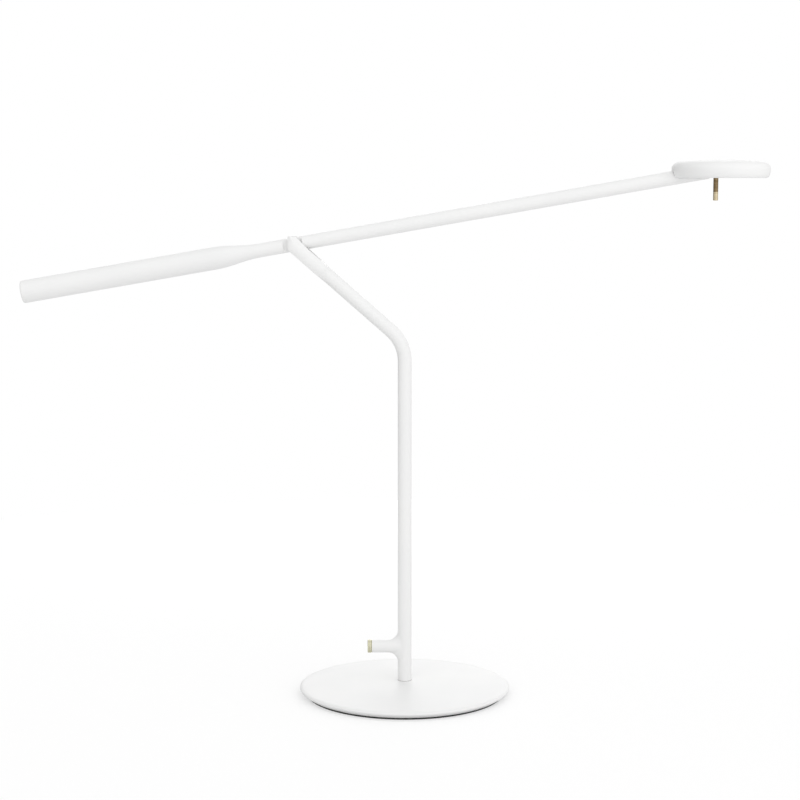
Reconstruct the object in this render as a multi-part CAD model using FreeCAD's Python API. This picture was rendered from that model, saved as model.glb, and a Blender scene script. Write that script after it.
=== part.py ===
"""Counterweight balance desk lamp, built piece by piece at its real size.

Millimetres and degrees.  The lamp stands on Z = 0 with the middle of its foot at the origin.  Post, arm
and head share the plane Y = 0: the head reaches towards +X and the counterweight towards -X.
Three part frames are used besides the lamp's own: along the arm (X from the pivot to the head), along the
diagonal of the post (X from the pivot down to the bend) and on the head (origin at the middle of its
underside).  Pieces are drawn in the frame that suits them and then set in place.
"""

import FreeCAD
import Part
import math
import os

# ------------------------------------------------------------------ clearances and fits
PRESS_GAP = 0.03        # radial, pieces pressed or screwed together for good
RUNNING_GAP = 0.05      # radial, a shaft turning in its bore
FACE_GAP = 0.05         # between faces that slide on each other
MOVING_GAP = 0.3        # between pieces that pass each other as joints move
LOOSE_GAP = 0.2         # around pieces dropped into a recess
SCREW_GAP = 0.15        # radial, around a screw that passes through
CABLE_GAP = 0.15        # radial, around a cable
MERGE_DEPTH = 0.03      # how far a boss starts inside the wall that it grows from
WIRE_EXIT_STEP = 0.2    # cross-drilled wire exit wider than the bore that it meets, on the radius

# ------------------------------------------------------------------ base and foot
BASE_RADIUS = 100.0             # at the widest line of the edge
BASE_EDGE_REACH = 5.0           # radial, from the dome's shoulder and from the flat underside to the lip
BASE_EDGE_RISE = 2.1            # from the widest line up to the dome's shoulder
BASE_UNDERCUT_HEIGHT = 4.3      # from the flat underside up to the widest line
BASE_LIP_ROUND = 1.0            # rounding of the lip below its widest line
BASE_LIFT = 2.0                 # underside of the steel above the table
BASE_DOME_RISE = 3.9            # from the edge's shoulder up to the post seat
POST_SEAT_MARGIN = 1.5          # flat spot beyond the tube that stands on it
PAD_SETBACK = 1.7               # pad's edge inside the start of the undercut
PAD_RECESS_DEPTH = 0.8

# ------------------------------------------------------------------ cable inlet at the back of the base
CABLE_RADIUS = 1.75             # low-voltage cable that the inlet takes
GROOVE_HALF_WIDTH = 3.5
BUSH_LENGTH = 12.0
BUSH_INSET = 3.5                # outer face of the bush inside the widest line
BUSH_EDGE = 0.9                 # rounding along the bush
BUSH_SHOULDER_LENGTH = 3.0
BUSH_SHOULDER_EXTRA = 1.5       # shoulder beyond the groove on each side
BUSH_FOOT_CLEARANCE = 0.6       # bottom of the bush above the table

# ------------------------------------------------------------------ tubes and post
TUBE_RADIUS = 6.5
TUBE_WALL = 1.2
CORNER_HEIGHT = 335.7           # where the centre lines of upright and diagonal cross
BEND_RADIUS = 38.0
DIAGONAL_RISE = 41.35           # degrees above the horizontal
DIAGONAL_LENGTH = 138.95        # from the corner to the arm's pivot
SPIGOT_PLUG_LENGTH = 16.0
SPIGOT_THREAD_RADIUS = 4.95
SPIGOT_BORE_RADIUS = 3.0
POST_WASHER_RADIUS = 11.5
POST_WASHER_THICKNESS = 1.5
POST_NUT_ACROSS_FLATS = 17.0
POST_NUT_THICKNESS = 2.7
NUT_POCKET_GAP = 1.5            # radial, pocket around the washer
NUT_RECESS = 0.3                # nut's lower face above the pad

# ------------------------------------------------------------------ dimmer stub on the post
STUB_HEIGHT = 45.1
STUB_STEP = 0.5                 # stub thinner than the post, on the radius
STUB_REACH = 31.2               # from the post's centre line to the stub's end
STUB_BLEND_RADIUS = 9.5         # fillet between stub and post
STUB_WALL = 1.15
DIMMER_BODY_LENGTH = 8.0
DIMMER_NECK_RADIUS = 3.4
DIMMER_NECK_LENGTH = 5.6
DIMMER_NECK_SETBACK = 0.4       # neck's end inside the stub's end
DIMMER_NUT_THICKNESS = 2.0
DIMMER_NUT_BACKSET = 2.6        # nut's outer face behind the neck's end
DIMMER_SHAFT_RADIUS = 2.0
DIMMER_SHAFT_DEPTH = 4.0        # length of the shaft inside the neck
KNOB_PROUD = 0.2                # knob wider than the stub, on the radius
KNOB_LENGTH = 3.9
KNOB_SOCKET_DEPTH = 2.4
KNOB_EDGE = 0.5
KNOB_FLUTES = 24
KNOB_FLUTE_RADIUS = 0.5
KNOB_FLUTE_DEPTH = 0.22

# ------------------------------------------------------------------ fork at the post's top
ARM_TILT = 9.91                 # degrees above the horizontal, at rest
ARM_TRAVEL_DOWN = 25.0
ARM_TRAVEL_UP = 40.0
TRAVEL_MARGIN = 1.0             # degrees of room beyond each limit
EAR_THICKNESS = 4.0             # of each ear, beside the slot
EAR_LEFT = 4.5                  # pivot to the upright end of the ears
EAR_RISE = 1.1                  # ears' level top above a level arm's side
EAR_FLARE = 1.2                 # ears wider than the tube at the top
EAR_FLARE_START = 14.0          # along the diagonal
EAR_ROUND_OFFSET = 1.2          # rounding's axis beyond the middle plane, seen from the ear
EAR_ROUND_START = 2.3           # right of the pivot
FORK_FULL_LENGTH = 31.0         # full bar radius down to here, along the diagonal
FORK_LENGTH = 46.0              # shoulder on the tube's end
FORK_PLUG_LENGTH = 18.0
FORK_WIRE_RADIUS = 2.5
BOSS_RADIUS = 4.4               # raised rings round the pivot pin inside the ears
PIVOT_RADIUS = 2.5
PIVOT_THREAD_RADIUS = 2.0
PIVOT_THREAD_LENGTH = 3.6
PIVOT_HEAD_RADIUS = 4.6
PIVOT_HEAD_HEIGHT = 2.4
PIVOT_HEAD_EDGE = 1.0           # rounding of the head's rim
PIVOT_HEAD_SLOT = 1.0           # width and depth of the screwdriver slot
PIVOT_POCKET_DEPTH = 2.6        # recess for the pin's head in the rear ear
SPRING_WASHER_THICKNESS = 0.5
FRICTION_WASHER_THICKNESS = 0.5
PIVOT_BUSH_WALL = 1.0

# ------------------------------------------------------------------ arm and counterweight
HUB_LEFT = 10.1
HUB_RIGHT = 9.2
HUB_COLLAR = 1.0                # full round left of the flats
HUB_HALF_THICKNESS = 4.0        # pivot's middle plane to the flats
HUB_PLUG_LENGTH = 20.0
HUB_WIRE_RADIUS = 1.8
HUB_WIRE_EXIT = 6.6             # right of the pivot, where the wire leaves downwards
WEIGHT_STUD_RADIUS = 4.0
WEIGHT_STUD_LENGTH = 22.0
WEIGHT_SWELL = 4.1              # weight beyond the arm's tube, on the radius
WEIGHT_TAPER_START = 29.2       # from the pivot
WEIGHT_TAPER_LENGTH = 47.4
WEIGHT_END = 257.0
WEIGHT_EDGE = 1.4
TAPER_SOFTNESS = 0.45           # share of the taper's length that eases in and out

# ------------------------------------------------------------------ swivel at the arm's end
HINGE_SETBACK = 14.1            # head's middle back to its hinge, along the arm
SWIVEL_SETBACK = 18.8           # hinge back to the swivel's seam
SWIVEL_BUSH_LENGTH = 14.0
SPINDLE_RADIUS = 3.5
SWIVEL_NUT_GAP = 0.6            # radial, nut and washer inside the tube
SWIVEL_NUT_THICKNESS = 3.0
SPINDLE_BORE_RADIUS = 1.5
EYE_HALF_THICKNESS = 4.6
EYE_FLAT_LENGTH = 8.5
HINGE_PIN_RADIUS = 2.0
HINGE_BOSS_RADIUS = 4.4
EYE_WIRE_EXIT = 6.0             # left of the hinge, where the wire leaves upwards

# ------------------------------------------------------------------ head
HEAD_REACH = 403.7              # pivot to the head's middle, along the arm
HEAD_ABOVE_AXIS = 9.1           # head's top above the arm's axis at its middle
HEAD_RADIUS = 45.5
HEAD_HEIGHT = 16.9
HEAD_WIDEST = 8.4               # above the underside
HEAD_SHOULDER_REACH = 7.5       # radial width of the rounding over the rim
HEAD_CROWN_DROP = 1.7           # from the middle of the top to the rounding
HEAD_LOWER_EDGE = 3.6           # radial width of the rounding under the rim
HEAD_WALL = 5.9                 # at the widest line
HEAD_ROOF = 3.1                 # at the middle
DIFFUSER_LEDGE = 1.2            # radial width of the ledge over the diffuser's edge
DIFFUSER_RECESS = 0.4
DIFFUSER_THICKNESS = 2.1
BRACKET_WALL = 2.1              # beside the arm's notch
BRACKET_NOSE_REACH = 17.49      # hinge to the bracket's round nose
BRACKET_FLANGE_REACH = 5.5      # flange beyond the bracket's side
BRACKET_FLANGE_LENGTH = 10.0
BRACKET_FLANGE_THICKNESS = 1.5
BRACKET_SCREW_REACH = 2.8       # screw's axis beyond the bracket's side
HEAD_TILT_DOWN = 35.0
ARM_NOTCH_GAP = 0.4
PLATE_DROP = 4.0                # heat plate's upper face under the ceiling
PLATE_GAP = 0.4                 # radial, plate in the pocket
PLATE_THICKNESS = 2.0
BOARD_SETBACK = 1.2             # board's edge inside the plate's
BOARD_THICKNESS = 1.2
CHIP_SIZE = 3.0
CHIP_THICKNESS = 0.8
CHIP_RING_SETBACK = 10.0        # middle of the chips inside the board's edge
CHIP_COUNT = 20
SCREW_RING_SETBACK = 4.5        # middle of the screws inside the board's edge
SCREW_SPREAD = 115.0            # degrees from the screw at +X to the other two
SCREW_BOSS_RADIUS = 3.2
SCREW_RADIUS = 1.2
SCREW_HEAD_RADIUS = 2.3
SCREW_HEAD_HEIGHT = 1.3
SCREW_GRIP = 3.4                # length in the head shell
BRACKET_SCREW_GRIP = 1.5

# ------------------------------------------------------------------ handle pin under the head
HANDLE_REACH = 9.29             # hinge to the handle pin
HANDLE_RADIUS = 2.3
HANDLE_STEM_LENGTH = 12.9
HANDLE_TIP_LENGTH = 7.9
HANDLE_STUD_RADIUS = 1.5
HANDLE_STUD_LENGTH = 5.5
HANDLE_SPIGOT_RADIUS = 1.3
HANDLE_SPIGOT_LENGTH = 4.0
HANDLE_EDGE = 0.5

# ------------------------------------------------------------------ derived places
BASE_EDGE_Z = BASE_LIFT + BASE_UNDERCUT_HEIGHT
BASE_SHOULDER_RADIUS = BASE_RADIUS - BASE_EDGE_REACH
BASE_SHOULDER_Z = BASE_EDGE_Z + BASE_EDGE_RISE
POST_SEAT_Z = BASE_SHOULDER_Z + BASE_DOME_RISE
POST_SEAT_RADIUS = TUBE_RADIUS + POST_SEAT_MARGIN
PAD_RADIUS = BASE_SHOULDER_RADIUS - PAD_SETBACK
PAD_TOP = BASE_LIFT + PAD_RECESS_DEPTH
NUT_POCKET_RADIUS = POST_WASHER_RADIUS + NUT_POCKET_GAP
POCKET_ROOF = PAD_TOP + NUT_RECESS + POST_NUT_THICKNESS + POST_WASHER_THICKNESS
BUSH_OUTER_FACE = BASE_RADIUS - BUSH_INSET
BUSH_INNER_FACE = BUSH_OUTER_FACE - BUSH_LENGTH
TUBE_BORE = TUBE_RADIUS - TUBE_WALL
PLUG_RADIUS = TUBE_BORE - PRESS_GAP
SLOT_HALF_WIDTH = TUBE_RADIUS + MOVING_GAP
KNUCKLE_RADIUS = SLOT_HALF_WIDTH + EAR_THICKNESS
EAR_TOP = TUBE_RADIUS + EAR_RISE
EAR_ROUND_RADIUS = KNUCKLE_RADIUS + EAR_ROUND_OFFSET
PIVOT_X = -DIAGONAL_LENGTH * math.cos(math.radians(DIAGONAL_RISE))
PIVOT_Z = CORNER_HEIGHT + DIAGONAL_LENGTH * math.sin(math.radians(DIAGONAL_RISE))
HUB_WASHER_FACE = HUB_HALF_THICKNESS + FACE_GAP + FRICTION_WASHER_THICKNESS
PIVOT_BUSH_RADIUS = PIVOT_RADIUS + RUNNING_GAP + PIVOT_BUSH_WALL
PIVOT_POCKET_FLOOR = KNUCKLE_RADIUS - PIVOT_POCKET_DEPTH
WEIGHT_RADIUS = TUBE_RADIUS + WEIGHT_SWELL
WEIGHT_TAPER_END = WEIGHT_TAPER_START + WEIGHT_TAPER_LENGTH
STUB_RADIUS = TUBE_RADIUS - STUB_STEP
STUB_BORE_RADIUS = STUB_RADIUS - STUB_WALL
DIMMER_NECK_END = STUB_REACH - DIMMER_NECK_SETBACK
DIMMER_FACE = DIMMER_NECK_END - DIMMER_NECK_LENGTH
STUB_FLOOR = DIMMER_FACE - DIMMER_BODY_LENGTH
KNOB_RADIUS = STUB_RADIUS + KNOB_PROUD
KNOB_BACK = STUB_REACH + MOVING_GAP
HEAD_HINGE_REACH = HEAD_REACH - HINGE_SETBACK
ARM_TUBE_END = HEAD_HINGE_REACH - SWIVEL_SETBACK
EYE_SHOULDER = ARM_TUBE_END + MOVING_GAP
SWIVEL_BUSH_START = ARM_TUBE_END - SWIVEL_BUSH_LENGTH
SWIVEL_WASHER_START = SWIVEL_BUSH_START - FACE_GAP - SPRING_WASHER_THICKNESS
SWIVEL_NUT_RADIUS = TUBE_BORE - SWIVEL_NUT_GAP
EYE_WASHER_FACE = EYE_HALF_THICKNESS + FACE_GAP + FRICTION_WASHER_THICKNESS
HEAD_BELOW_AXIS = HEAD_HEIGHT - HEAD_ABOVE_AXIS
HEAD_X = PIVOT_X + HEAD_REACH * math.cos(math.radians(ARM_TILT))
HEAD_Z = PIVOT_Z + HEAD_REACH * math.sin(math.radians(ARM_TILT)) - HEAD_BELOW_AXIS
HINGE_X = -HINGE_SETBACK * math.cos(math.radians(ARM_TILT))
HINGE_Z = HEAD_BELOW_AXIS - HINGE_SETBACK * math.sin(math.radians(ARM_TILT))
NOTCH_RADIUS = TUBE_RADIUS + ARM_NOTCH_GAP
HEAD_CROWN_RADIUS = HEAD_RADIUS - HEAD_SHOULDER_REACH
HEAD_POCKET_RADIUS = HEAD_RADIUS - HEAD_WALL
HEAD_CEILING = HEAD_HEIGHT - HEAD_ROOF
DIFFUSER_RADIUS = HEAD_POCKET_RADIUS + DIFFUSER_LEDGE
DIFFUSER_TOP = DIFFUSER_RECESS + DIFFUSER_THICKNESS
PLATE_RADIUS = HEAD_POCKET_RADIUS - PLATE_GAP
PLATE_TOP = HEAD_CEILING - PLATE_DROP
PLATE_BOTTOM = PLATE_TOP - PLATE_THICKNESS
BOARD_RADIUS = PLATE_RADIUS - BOARD_SETBACK
BOARD_BOTTOM = PLATE_BOTTOM - BOARD_THICKNESS
CHIP_RING_RADIUS = BOARD_RADIUS - CHIP_RING_SETBACK
SCREW_RING_RADIUS = BOARD_RADIUS - SCREW_RING_SETBACK
BRACKET_HALF_WIDTH = NOTCH_RADIUS + BRACKET_WALL
BRACKET_NOSE_CENTRE = HINGE_X + BRACKET_NOSE_REACH - BRACKET_HALF_WIDTH
FLANGE_HALF_WIDTH = BRACKET_HALF_WIDTH + BRACKET_FLANGE_REACH
FLANGE_BOTTOM = HEAD_CEILING - BRACKET_FLANGE_THICKNESS
HANDLE_X = HINGE_X + HANDLE_REACH
FAR = 400.0                     # longer than anything that a cutting tool has to pass through

ORIGIN = FreeCAD.Vector(0, 0, 0)
X_AXIS = FreeCAD.Vector(1, 0, 0)
Y_AXIS = FreeCAD.Vector(0, 1, 0)
Z_AXIS = FreeCAD.Vector(0, 0, 1)
PIVOT = FreeCAD.Vector(PIVOT_X, 0, PIVOT_Z)
HEAD_CENTRE = FreeCAD.Vector(HEAD_X, 0, HEAD_Z)


# ------------------------------------------------------------------ drawing helpers
def point(x, z):
    """A point of the lamp's middle plane."""
    return FreeCAD.Vector(x, 0, z)


def line(start, end):
    """A straight edge."""
    return Part.LineSegment(start, end).toShape()


def arc(start, middle, end):
    """An edge along the circle through three points."""
    return Part.Arc(start, middle, end).toShape()


def rounded_corner(start, corner, end):
    """A rounding from start to end that is tangent to both sides of the corner."""
    ease = 4.0 / 3.0 * (math.sqrt(2.0) - 1.0)
    curve = Part.BezierCurve()
    curve.setPoles([start, start + (corner - start) * ease, end + (corner - end) * ease, end])
    return curve.toShape()


def s_curve(start, end, softness):
    """A curve from start to end that leaves and arrives along X."""
    reach = (end.x - start.x) * softness
    curve = Part.BezierCurve()
    curve.setPoles([start, start + X_AXIS * reach, end - X_AXIS * reach, end])
    return curve.toShape()


def outline_face(edges):
    """The flat face that a closed chain of edges bounds."""
    return Part.Face(Part.Wire(edges))


def polygon_face(corners):
    """The flat face of a closed polygon."""
    return Part.Face(Part.makePolygon(corners + [corners[0]]))


def turned(edges, axis):
    """The solid of revolution of a closed half outline about an axis through the origin."""
    return outline_face(edges).revolve(ORIGIN, axis, 360)


def rod(radius, start, end, axis=X_AXIS, centre=ORIGIN):
    """A cylinder between two places along an axis through a centre."""
    return Part.makeCylinder(radius, end - start, centre + axis * start, axis)


def ring(outer, inner, start, end, axis=X_AXIS, centre=ORIGIN):
    """A washer or a tube between two places along an axis."""
    return rod(outer, start, end, axis, centre).cut(rod(inner, start - 1, end + 1, axis, centre))


def block(low, high):
    """A box between two corners given as (x, y, z)."""
    size = [far - near for near, far in zip(low, high)]
    return Part.makeBox(*size, FreeCAD.Vector(*low))


def through(face, half_width):
    """A face of the middle plane extruded to both sides of it."""
    raised = face.copy()
    raised.translate(Y_AXIS * -half_width)
    return raised.extrude(Y_AXIS * 2 * half_width)


def tilted(shape, degrees):
    """The shape turned about the Y axis so that +X rises by the angle."""
    moved = shape.copy()
    moved.rotate(ORIGIN, Y_AXIS, -degrees)
    return moved


def on_arm(shape):
    """A shape drawn along the arm, set in place on the lamp."""
    moved = tilted(shape, ARM_TILT)
    moved.translate(PIVOT)
    return moved


def on_head(shape):
    """A shape drawn on the head, set in place."""
    moved = shape.copy()
    moved.translate(HEAD_CENTRE)
    return moved


def hexagon(across_flats, bottom, top, axis, centre):
    """A hexagonal nut blank along an axis."""
    corner_radius = across_flats / math.sqrt(3.0)
    side = Y_AXIS if abs(axis.dot(Y_AXIS)) < 0.5 else Z_AXIS
    other = axis.cross(side)
    corners = []
    for index in range(6):
        angle = math.radians(60 * index)
        spoke = side * (corner_radius * math.cos(angle)) + other * (corner_radius * math.sin(angle))
        corners.append(centre + axis * bottom + spoke)
    return polygon_face(corners).extrude(axis * (top - bottom))


def biggest(shape):
    """The largest solid of a result."""
    return max(shape.Solids, key=lambda solid: solid.Volume)


# ------------------------------------------------------------------ base
def cable_groove():
    """Room for the cable and for the bush's shoulder, from the nut pocket to the base's back edge."""
    half = GROOVE_HALF_WIDTH
    run = block((-half, 0, -1), (half, BASE_RADIUS + 1, POCKET_ROOF))
    shoulder_half = half + BUSH_SHOULDER_EXTRA
    shoulder = block((-shoulder_half, BUSH_INNER_FACE - BUSH_SHOULDER_LENGTH, -1),
                     (shoulder_half, BUSH_INNER_FACE, POCKET_ROOF))
    return run.fuse(shoulder)


def make_base_plate():
    """The heavy steel disc: undercut lip, shallow dome, pad recess, nut pocket and cable groove."""
    shoulder = BASE_SHOULDER_RADIUS
    dome_slope = 2 * BASE_DOME_RISE / (shoulder - POST_SEAT_RADIUS)
    middle = (shoulder + POST_SEAT_RADIUS) / 2
    dome_middle = point(middle, POST_SEAT_Z - BASE_DOME_RISE / 4)
    underside_edge = point(shoulder, BASE_LIFT)
    lip_corner = point(BASE_RADIUS, BASE_EDGE_Z - BASE_LIP_ROUND)
    lip_start = lip_corner + (underside_edge - lip_corner) * (BASE_LIP_ROUND / BASE_EDGE_REACH)
    widest = point(BASE_RADIUS, BASE_EDGE_Z)
    top_corner = point(BASE_RADIUS, BASE_SHOULDER_Z - BASE_EDGE_REACH * dome_slope / 2)
    outline = [
        line(point(0, PAD_TOP), point(PAD_RADIUS + LOOSE_GAP, PAD_TOP)),
        line(point(PAD_RADIUS + LOOSE_GAP, PAD_TOP), point(PAD_RADIUS + LOOSE_GAP, BASE_LIFT)),
        line(point(PAD_RADIUS + LOOSE_GAP, BASE_LIFT), underside_edge),
        line(underside_edge, lip_start),
        rounded_corner(lip_start, lip_corner, widest),
        rounded_corner(widest, top_corner, point(shoulder, BASE_SHOULDER_Z)),
        arc(point(shoulder, BASE_SHOULDER_Z), dome_middle, point(POST_SEAT_RADIUS, POST_SEAT_Z)),
        line(point(POST_SEAT_RADIUS, POST_SEAT_Z), point(0, POST_SEAT_Z)),
        line(point(0, POST_SEAT_Z), point(0, PAD_TOP)),
    ]
    disc = turned(outline, Z_AXIS)
    pocket = rod(NUT_POCKET_RADIUS, PAD_TOP - 1, POCKET_ROOF, Z_AXIS)
    hole = rod(SPIGOT_THREAD_RADIUS + SCREW_GAP, 0, POST_SEAT_Z + 1, Z_AXIS)
    return disc.cut(pocket.fuse(hole)).cut(cable_groove())


def make_foot_pad():
    """The rubber pad that the lamp rests on, notched for the inlet bush."""
    notch_half = GROOVE_HALF_WIDTH + BUSH_SHOULDER_EXTRA + LOOSE_GAP
    notch_start = BUSH_INNER_FACE - BUSH_SHOULDER_LENGTH - LOOSE_GAP
    notch = block((-notch_half, notch_start, -1), (notch_half, BASE_RADIUS, PAD_TOP + 1))
    return rod(PAD_RADIUS, 0, PAD_TOP, Z_AXIS).cut(notch)


def make_inlet_bush():
    """The grommet at the back of the base that the cable would come in through."""
    half = GROOVE_HALF_WIDTH - PRESS_GAP
    top = POCKET_ROOF - PRESS_GAP
    body = block((-half, BUSH_INNER_FACE, BUSH_FOOT_CLEARANCE), (half, BUSH_OUTER_FACE, top))
    long_edges = [e for e in body.Edges if e.BoundBox.YLength > BUSH_LENGTH / 2]
    body = body.makeFillet(BUSH_EDGE, long_edges)
    shoulder_half = half + BUSH_SHOULDER_EXTRA
    shoulder_start = BUSH_INNER_FACE - BUSH_SHOULDER_LENGTH
    shoulder = block((-shoulder_half, shoulder_start, BUSH_FOOT_CLEARANCE),
                     (shoulder_half, BUSH_INNER_FACE, top))
    bore_centre = point(0, (BUSH_FOOT_CLEARANCE + top) / 2)
    bore = rod(CABLE_RADIUS + CABLE_GAP, shoulder_start - 1, BUSH_OUTER_FACE + 1, Y_AXIS, bore_centre)
    return body.fuse(shoulder).removeSplitter().cut(bore)


def make_post_spigot():
    """The turned plug in the post's foot with its hollow threaded end, which holds the post to the base."""
    plug = rod(PLUG_RADIUS, POST_SEAT_Z, POST_SEAT_Z + SPIGOT_PLUG_LENGTH, Z_AXIS)
    thread_end = POCKET_ROOF - POST_WASHER_THICKNESS - POST_NUT_THICKNESS
    thread = rod(SPIGOT_THREAD_RADIUS, thread_end, POST_SEAT_Z, Z_AXIS)
    bore = rod(SPIGOT_BORE_RADIUS, 0, POST_SEAT_Z + SPIGOT_PLUG_LENGTH + 1, Z_AXIS)
    return plug.fuse(thread).cut(bore)


def make_post_washer():
    """The plain washer between nut and base."""
    bottom = POCKET_ROOF - POST_WASHER_THICKNESS
    return ring(POST_WASHER_RADIUS, SPIGOT_THREAD_RADIUS + SCREW_GAP, bottom, POCKET_ROOF, Z_AXIS)


def make_post_nut():
    """The thin nut that draws the post down on the base."""
    top = POCKET_ROOF - POST_WASHER_THICKNESS
    blank = hexagon(POST_NUT_ACROSS_FLATS, top - POST_NUT_THICKNESS, top, Z_AXIS, ORIGIN)
    return blank.cut(rod(SPIGOT_THREAD_RADIUS + PRESS_GAP, 0, POST_SEAT_Z, Z_AXIS))


# ------------------------------------------------------------------ post
def post_path():
    """The post's centre line: upright, bend and diagonal up to the fork's shoulder."""
    turn = math.radians(90.0 - DIAGONAL_RISE)
    tangent = BEND_RADIUS * math.tan(turn / 2)
    along = point(-math.cos(math.radians(DIAGONAL_RISE)), math.sin(math.radians(DIAGONAL_RISE)))
    corner = point(0, CORNER_HEIGHT)
    bend_start = corner - Z_AXIS * tangent
    bend_end = corner + along * tangent
    centre = bend_start - X_AXIS * BEND_RADIUS
    bend_middle = centre + point(math.cos(turn / 2), math.sin(turn / 2)) * BEND_RADIUS
    top = corner + along * (DIAGONAL_LENGTH - FORK_LENGTH)
    return [
        line(point(0, POST_SEAT_Z), bend_start),
        arc(bend_start, bend_middle, bend_end),
        line(bend_end, top),
    ]


def swept_tube(radius, path):
    """A round bar along a path that starts upright."""
    start = path[0].Vertexes[0].Point
    profile = Part.Wire([Part.makeCircle(radius, start, Z_AXIS)])
    return Part.Wire(path).makePipeShell([profile], True, False)


def make_post_tube():
    """The bent post with the blended stub that carries the dimmer."""
    path = post_path()
    upright = rod(TUBE_RADIUS, POST_SEAT_Z, STUB_HEIGHT + STUB_REACH, Z_AXIS)
    stub = rod(STUB_RADIUS, 0, STUB_REACH, X_AXIS * -1, point(0, STUB_HEIGHT))
    tee = upright.fuse(stub)
    seam = [e for e in tee.Edges if is_stub_seam(e)]
    tee = tee.makeFillet(STUB_BLEND_RADIUS, seam)
    outside = swept_tube(TUBE_RADIUS, path).fuse(tee).removeSplitter()
    dimmer_bore = rod(STUB_BORE_RADIUS, STUB_FLOOR, STUB_REACH + 1, X_AXIS * -1, point(0, STUB_HEIGHT))
    wire_way = rod(SPIGOT_BORE_RADIUS, 0, STUB_REACH, X_AXIS * -1, point(0, STUB_HEIGHT))
    return biggest(outside.cut(swept_tube(TUBE_BORE, path)).cut(dimmer_bore).cut(wire_way))


def is_stub_seam(edge):
    """Whether an edge lies where the stub runs into the upright."""
    box = edge.BoundBox
    inside = abs(box.XMin) < TUBE_RADIUS + 1 and abs(box.XMax) < TUBE_RADIUS + 1
    level = box.ZMin > STUB_HEIGHT - STUB_RADIUS - 1 and box.ZMax < STUB_HEIGHT + STUB_RADIUS + 1
    return inside and level


# ------------------------------------------------------------------ dimmer
def make_dimmer_body():
    """The dimmer's can with its threaded neck, inside the stub."""
    centre = point(0, STUB_HEIGHT)
    left = X_AXIS * -1
    can = rod(STUB_BORE_RADIUS - PRESS_GAP, STUB_FLOOR, DIMMER_FACE, left, centre)
    neck = rod(DIMMER_NECK_RADIUS, DIMMER_FACE, DIMMER_NECK_END, left, centre)
    hole_start = DIMMER_NECK_END - DIMMER_SHAFT_DEPTH - MOVING_GAP
    bore = rod(DIMMER_SHAFT_RADIUS + RUNNING_GAP, hole_start, STUB_REACH, left, centre)
    return can.fuse(neck).cut(bore)


def make_dimmer_nut():
    """The ring nut that locks the dimmer's neck in the stub."""
    outer_face = DIMMER_NECK_END - DIMMER_NUT_BACKSET
    return ring(STUB_BORE_RADIUS - PRESS_GAP, DIMMER_NECK_RADIUS + PRESS_GAP,
                outer_face - DIMMER_NUT_THICKNESS, outer_face, X_AXIS * -1, point(0, STUB_HEIGHT))


def make_dimmer_shaft():
    """The dimmer's turning shaft."""
    start = DIMMER_NECK_END - DIMMER_SHAFT_DEPTH
    return rod(DIMMER_SHAFT_RADIUS, start, KNOB_BACK + KNOB_SOCKET_DEPTH, X_AXIS * -1, point(0, STUB_HEIGHT))


def make_dimmer_knob():
    """The fluted brass knob on the stub's end."""
    centre = point(0, STUB_HEIGHT)
    left = X_AXIS * -1
    front = KNOB_BACK + KNOB_LENGTH
    knob = rod(KNOB_RADIUS, KNOB_BACK, front, left, centre)
    knob = knob.makeChamfer(KNOB_EDGE, [e for e in knob.Edges if e.isClosed()])
    knob = knob.cut(rod(DIMMER_SHAFT_RADIUS + PRESS_GAP, 0, KNOB_BACK + KNOB_SOCKET_DEPTH, left, centre))
    flutes = []
    for index in range(KNOB_FLUTES):
        angle = 2 * math.pi * index / KNOB_FLUTES
        reach = KNOB_RADIUS + KNOB_FLUTE_RADIUS - KNOB_FLUTE_DEPTH
        foot = centre + Y_AXIS * (reach * math.cos(angle)) + Z_AXIS * (reach * math.sin(angle))
        flutes.append(rod(KNOB_FLUTE_RADIUS, KNOB_BACK - 1, front + 1, left, foot))
    return knob.cut(Part.makeCompound(flutes))


# ------------------------------------------------------------------ fork and pivot
def ray(degrees, along, offset):
    """A point reached along a direction from the pivot and then square to it, downwards when negative."""
    angle = math.radians(degrees)
    return point(along * math.cos(angle) - offset * math.sin(angle),
                 along * math.sin(angle) + offset * math.cos(angle))


def arm_sweep():
    """Everything in the middle plane that the arm can pass through, as seen from the pivot."""
    low = ARM_TILT - ARM_TRAVEL_DOWN - TRAVEL_MARGIN
    high = ARM_TILT + ARM_TRAVEL_UP + TRAVEL_MARGIN
    reach = TUBE_RADIUS + MOVING_GAP
    ridge = reach * math.tan(math.radians((high - low) / 2))
    return polygon_face([
        ray(low, ridge, -reach),
        ray(low, FAR, -reach),
        ray(90, FAR, -FAR),
        ray(90, FAR, FAR),
        ray(high, -FAR, -reach),
    ])


def fork_outline():
    """The fork from the front: level top, upright left end and the diagonal's two sides."""
    down = -DIAGONAL_RISE
    tilt = math.radians(DIAGONAL_RISE)
    flare = TUBE_RADIUS + EAR_FLARE
    top_right = point((flare - EAR_TOP * math.cos(tilt)) / math.sin(tilt), EAR_TOP)
    left_foot = point(-EAR_LEFT, (EAR_LEFT * math.sin(tilt) - TUBE_RADIUS) / math.cos(tilt))
    return polygon_face([
        point(-EAR_LEFT, EAR_TOP),
        top_right,
        ray(down, EAR_FLARE_START, TUBE_RADIUS),
        ray(down, FORK_LENGTH, TUBE_RADIUS),
        ray(down, FORK_LENGTH, -TUBE_RADIUS),
        left_foot,
    ])


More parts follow.
